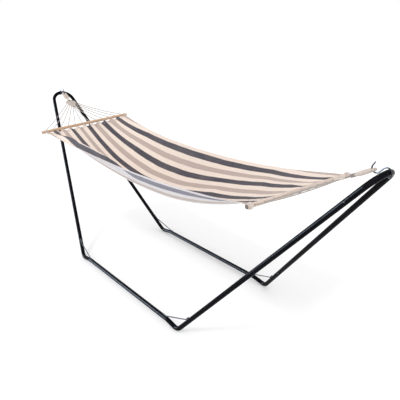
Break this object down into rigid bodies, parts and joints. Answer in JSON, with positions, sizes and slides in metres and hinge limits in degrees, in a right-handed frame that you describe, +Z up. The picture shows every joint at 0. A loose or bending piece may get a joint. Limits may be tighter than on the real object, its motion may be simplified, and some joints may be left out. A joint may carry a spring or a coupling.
{
  "type": "hammock on stand",
  "caption": "Striped cotton hammock with wooden spreader bars, hung by S-hooks between the raised ends of a black steel tube stand.",
  "frame": {"origin": "on the floor under the middle of the stand, at the bottom centre of the bounding box", "axes": "+X runs lengthwise to the foot end, +Y across to the right side, +Z up"},
  "size_m": [2.7972, 0.6954, 1.0327],
  "materials": {
    "black_paint": "gloss black powder coat",
    "brace_paint": "dark grey paint on steel rod",
    "spring_steel": "bright spring steel",
    "hook_steel": "zinc plated steel wire",
    "bar_wood": "pale unfinished dowel",
    "rope_cotton": "twisted cream cotton rope",
    "bed_cotton": "woven cotton, cream ground with charcoal and taupe stripes lengthwise"
  },
  "bodies": {
    "stand": {"base_rail_left": "black_paint", "base_rail_right": "black_paint", "corner_tube_head_left": "black_paint", "leg_tube_head_left": "black_paint", "corner_brace_head_left": "brace_paint", "spring_clip_rail_head_left": "spring_steel", "spring_clip_leg_head_left": "spring_steel", "spring_clip_hanger_head_left": "spring_steel", "corner_tube_head_right": "black_paint", "leg_tube_head_right": "black_paint", "corner_brace_head_right": "brace_paint", "spring_clip_rail_head_right": "spring_steel", "spring_clip_leg_head_right": "spring_steel", "spring_clip_hanger_head_right": "spring_steel", "hanger_tube_head": "black_paint", "corner_tube_foot_left": "black_paint", "leg_tube_foot_left": "black_paint", "corner_brace_foot_left": "brace_paint", "spring_clip_rail_foot_left": "spring_steel", "spring_clip_leg_foot_left": "spring_steel", "spring_clip_hanger_foot_left": "spring_steel", "corner_tube_foot_right": "black_paint", "leg_tube_foot_right": "black_paint", "corner_brace_foot_right": "brace_paint", "spring_clip_rail_foot_right": "spring_steel", "spring_clip_leg_foot_right": "spring_steel", "spring_clip_hanger_foot_right": "spring_steel", "hanger_tube_foot": "black_paint"},
    "bed": {"s_hook_head": "hook_steel", "rope_eye_head": "rope_cotton", "suspension_ropes_head": "rope_cotton", "spreader_bar_head": "bar_wood", "s_hook_foot": "hook_steel", "rope_eye_foot": "rope_cotton", "suspension_ropes_foot": "rope_cotton", "spreader_bar_foot": "bar_wood", "bed_fabric": "bed_cotton"},
    "snap_button_rail_head_left": {"snap_button_rail_head_left": "spring_steel"},
    "snap_button_leg_head_left": {"snap_button_leg_head_left": "spring_steel"},
    "snap_button_hanger_head_left": {"snap_button_hanger_head_left": "spring_steel"},
    "snap_button_rail_head_right": {"snap_button_rail_head_right": "spring_steel"},
    "snap_button_leg_head_right": {"snap_button_leg_head_right": "spring_steel"},
    "snap_button_hanger_head_right": {"snap_button_hanger_head_right": "spring_steel"},
    "snap_button_rail_foot_left": {"snap_button_rail_foot_left": "spring_steel"},
    "snap_button_leg_foot_left": {"snap_button_leg_foot_left": "spring_steel"},
    "snap_button_hanger_foot_left": {"snap_button_hanger_foot_left": "spring_steel"},
    "snap_button_rail_foot_right": {"snap_button_rail_foot_right": "spring_steel"},
    "snap_button_leg_foot_right": {"snap_button_leg_foot_right": "spring_steel"},
    "snap_button_hanger_foot_right": {"snap_button_hanger_foot_right": "spring_steel"}
  },
  "joints": [
    {"name": "bed_swing", "type": "hinge", "parent": "stand", "child": "bed", "pos_m": [0, 0, 1], "axis": [1, 0, 0], "range_deg": [-30, 30]},
    {"name": "press_rail_head_left", "type": "slide", "parent": "stand", "child": "snap_button_rail_head_left", "axis": [0, -1, 0], "range_m": [0, 0.0045], "stiffness_N_per_m": 800, "springref_m": -0.001},
    {"name": "press_leg_head_left", "type": "slide", "parent": "stand", "child": "snap_button_leg_head_left", "axis": [-0.1323, -0.979, 0.1553], "range_m": [0, 0.0045], "stiffness_N_per_m": 800, "springref_m": -0.001},
    {"name": "press_hanger_head_left", "type": "slide", "parent": "stand", "child": "snap_button_hanger_head_left", "axis": [0.1323, 0.979, -0.1553], "range_m": [0, 0.0045], "stiffness_N_per_m": 800, "springref_m": -0.001},
    {"name": "press_rail_head_right", "type": "slide", "parent": "stand", "child": "snap_button_rail_head_right", "axis": [0, 1, 0], "range_m": [0, 0.0045], "stiffness_N_per_m": 800, "springref_m": -0.001},
    {"name": "press_leg_head_right", "type": "slide", "parent": "stand", "child": "snap_button_leg_head_right", "axis": [-0.1323, 0.979, 0.1553], "range_m": [0, 0.0045], "stiffness_N_per_m": 800, "springref_m": -0.001},
    {"name": "press_hanger_head_right", "type": "slide", "parent": "stand", "child": "snap_button_hanger_head_right", "axis": [0.1323, -0.979, -0.1553], "range_m": [0, 0.0045], "stiffness_N_per_m": 800, "springref_m": -0.001},
    {"name": "press_rail_foot_left", "type": "slide", "parent": "stand", "child": "snap_button_rail_foot_left", "axis": [0, -1, 0], "range_m": [0, 0.0045], "stiffness_N_per_m": 800, "springref_m": -0.001},
    {"name": "press_leg_foot_left", "type": "slide", "parent": "stand", "child": "snap_button_leg_foot_left", "axis": [0.1323, -0.979, 0.1553], "range_m": [0, 0.0045], "stiffness_N_per_m": 800, "springref_m": -0.001},
    {"name": "press_hanger_foot_left", "type": "slide", "parent": "stand", "child": "snap_button_hanger_foot_left", "axis": [-0.1323, 0.979, -0.1553], "range_m": [0, 0.0045], "stiffness_N_per_m": 800, "springref_m": -0.001},
    {"name": "press_rail_foot_right", "type": "slide", "parent": "stand", "child": "snap_button_rail_foot_right", "axis": [0, 1, 0], "range_m": [0, 0.0045], "stiffness_N_per_m": 800, "springref_m": -0.001},
    {"name": "press_leg_foot_right", "type": "slide", "parent": "stand", "child": "snap_button_leg_foot_right", "axis": [0.1323, 0.979, 0.1553], "range_m": [0, 0.0045], "stiffness_N_per_m": 800, "springref_m": -0.001},
    {"name": "press_hanger_foot_right", "type": "slide", "parent": "stand", "child": "snap_button_hanger_foot_right", "axis": [-0.1323, -0.979, -0.1553], "range_m": [0, 0.0045], "stiffness_N_per_m": 800, "springref_m": -0.001}
  ]
}
